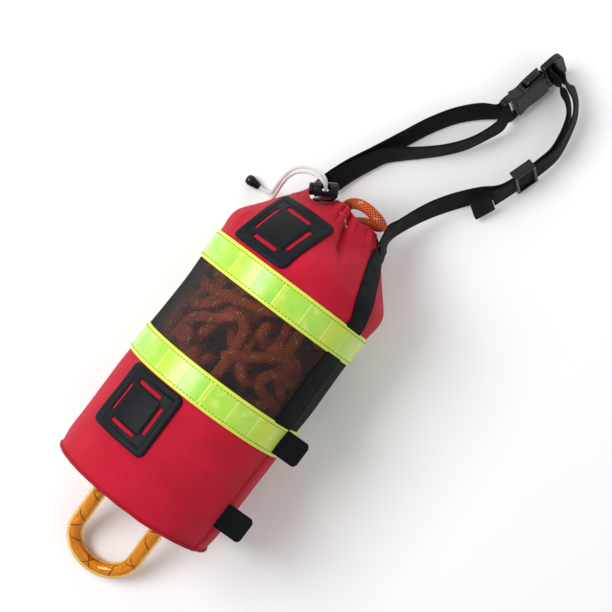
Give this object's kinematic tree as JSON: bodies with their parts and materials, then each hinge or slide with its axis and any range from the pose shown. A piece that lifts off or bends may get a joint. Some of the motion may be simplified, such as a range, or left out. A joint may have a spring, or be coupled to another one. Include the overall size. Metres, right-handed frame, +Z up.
{
  "type": "throw rope bag",
  "caption": "Round drawstring throw bag with a mesh middle, reflective bands and lash patches, holding a floating rescue rope, with a grab loop and a buckled belt.",
  "frame": {"origin": "on the face the bag rests on, under the middle of the lower reflective band", "axes": "+Y along the bag from base to mouth, +Z up from the surface it lies on, +X towards the side seam with the two tabs"},
  "size_m": [0.2137, 0.62, 0.1537],
  "materials": {
    "red_cordura": "coated woven nylon, dull",
    "red_piping": "folded woven binding",
    "black_mesh": "open net, matte",
    "lime_reflective": "prismatic reflective tape",
    "black_rubber": "moulded, matte",
    "black_webbing": "woven webbing",
    "throw_rope": "braided rope with white flecks",
    "loop_rope": "braided rope with dark tracer",
    "clear_sleeve": "clear soft tube, glossy",
    "white_cord": "braided cord",
    "black_plastic": "moulded acetal, satin",
    "bright_metal": "polished",
    "black_metal": "blackened",
    "foam": "closed-cell foam"
  },
  "bodies": {
    "bag": {"base_panel": "red_cordura", "base_binding": "red_piping", "base_eyelets": "black_metal", "foam_float": "foam", "lower_shell": "red_cordura", "mesh_panel": "black_mesh", "upper_shell": "red_cordura", "mouth_casing": "red_cordura", "mouth_gather": "red_cordura", "mouth_eyelet": "bright_metal", "reflective_band_lower": "lime_reflective", "reflective_band_upper": "lime_reflective", "lash_patch_lower": "black_rubber", "lash_patch_upper": "black_rubber", "side_tab_lower": "black_webbing", "side_tab_upper": "black_webbing", "side_webbing_right": "black_webbing", "side_webbing_left": "black_webbing", "rope_pack": "throw_rope", "rope_bight": "throw_rope", "loop_knot": "loop_rope", "drawcord_loop": "white_cord", "drawcord_tail_a": "white_cord", "drawcord_tail_b": "white_cord", "cord_end_a": "black_plastic", "cord_end_b": "black_plastic", "belt_root_left": "black_webbing", "belt_root_right": "black_webbing"},
    "grab_loop": {"grab_loop_rope": "loop_rope", "grab_loop_sleeve": "clear_sleeve"},
    "cord_lock": {"cord_lock_body": "black_plastic", "cord_lock_spring": "bright_metal"},
    "lock_button": {"cord_lock_button": "black_plastic"},
    "belt": {"belt_strap_left": "black_webbing", "belt_strap_right": "black_webbing", "belt_strap_return": "black_webbing", "strap_tail": "black_webbing", "buckle_female": "black_plastic"},
    "buckle_plug": {"buckle_male": "black_plastic", "male_strap_loop": "black_webbing"},
    "left_prong": {"prong_left": "black_plastic"},
    "right_prong": {"prong_right": "black_plastic"},
    "slider": {"strap_slider": "black_plastic"}
  },
  "joints": [
    {"name": "grab_loop_swing", "type": "hinge", "parent": "bag", "child": "grab_loop", "pos_m": [0.0035, -0.1224, 0.045], "axis": [-1, 0, 0], "range_deg": [0, 60]},
    {"name": "cord_lock_slide", "type": "slide", "parent": "bag", "child": "cord_lock", "axis": [-0.1519, 0.2498, 0.9563], "range_m": [0, 0.005], "deforming": ["drawcord_tail_a", "drawcord_tail_b"]},
    {"name": "lock_button_press", "type": "slide", "parent": "cord_lock", "child": "lock_button", "axis": [0.8545, 0.5195, 0], "range_m": [0, 0.004], "stiffness_N_per_m": 900, "springref_m": -0.003, "deforming": ["cord_lock_spring"]},
    {"name": "belt_swing", "type": "hinge", "parent": "bag", "child": "belt", "pos_m": [0, 0.179, 0.04], "axis": [1, 0, 0], "range_deg": [0, 40], "deforming": ["belt_root_left", "belt_root_right"]},
    {"name": "buckle_release", "type": "slide", "parent": "belt", "child": "buckle_plug", "axis": [0.2079, 0.9781, 0], "range_m": [0, 0.024], "deforming": ["male_strap_loop"]},
    {"name": "left_prong_squeeze", "type": "hinge", "parent": "buckle_plug", "child": "left_prong", "pos_m": [0.06143, 0.39168, 0.02791], "axis": [0.8637, -0.1836, 0.4695], "range_deg": [0, 9.1]},
    {"name": "right_prong_squeeze", "type": "hinge", "parent": "buckle_plug", "child": "right_prong", "pos_m": [0.07153, 0.38953, 0.00849], "axis": [-0.8637, 0.1836, -0.4695], "range_deg": [0, 9.1]},
    {"name": "slider_adjust", "type": "slide", "parent": "belt", "child": "slider", "axis": [0.309, 0.9511, 0], "range_m": [-0.008, 0.008]}
  ],
  "couplings": [
    {"joint": "left_prong_squeeze", "follows": "buckle_release", "rad_per_m": 6.545},
    {"joint": "right_prong_squeeze", "follows": "buckle_release", "rad_per_m": 6.545}
  ]
}
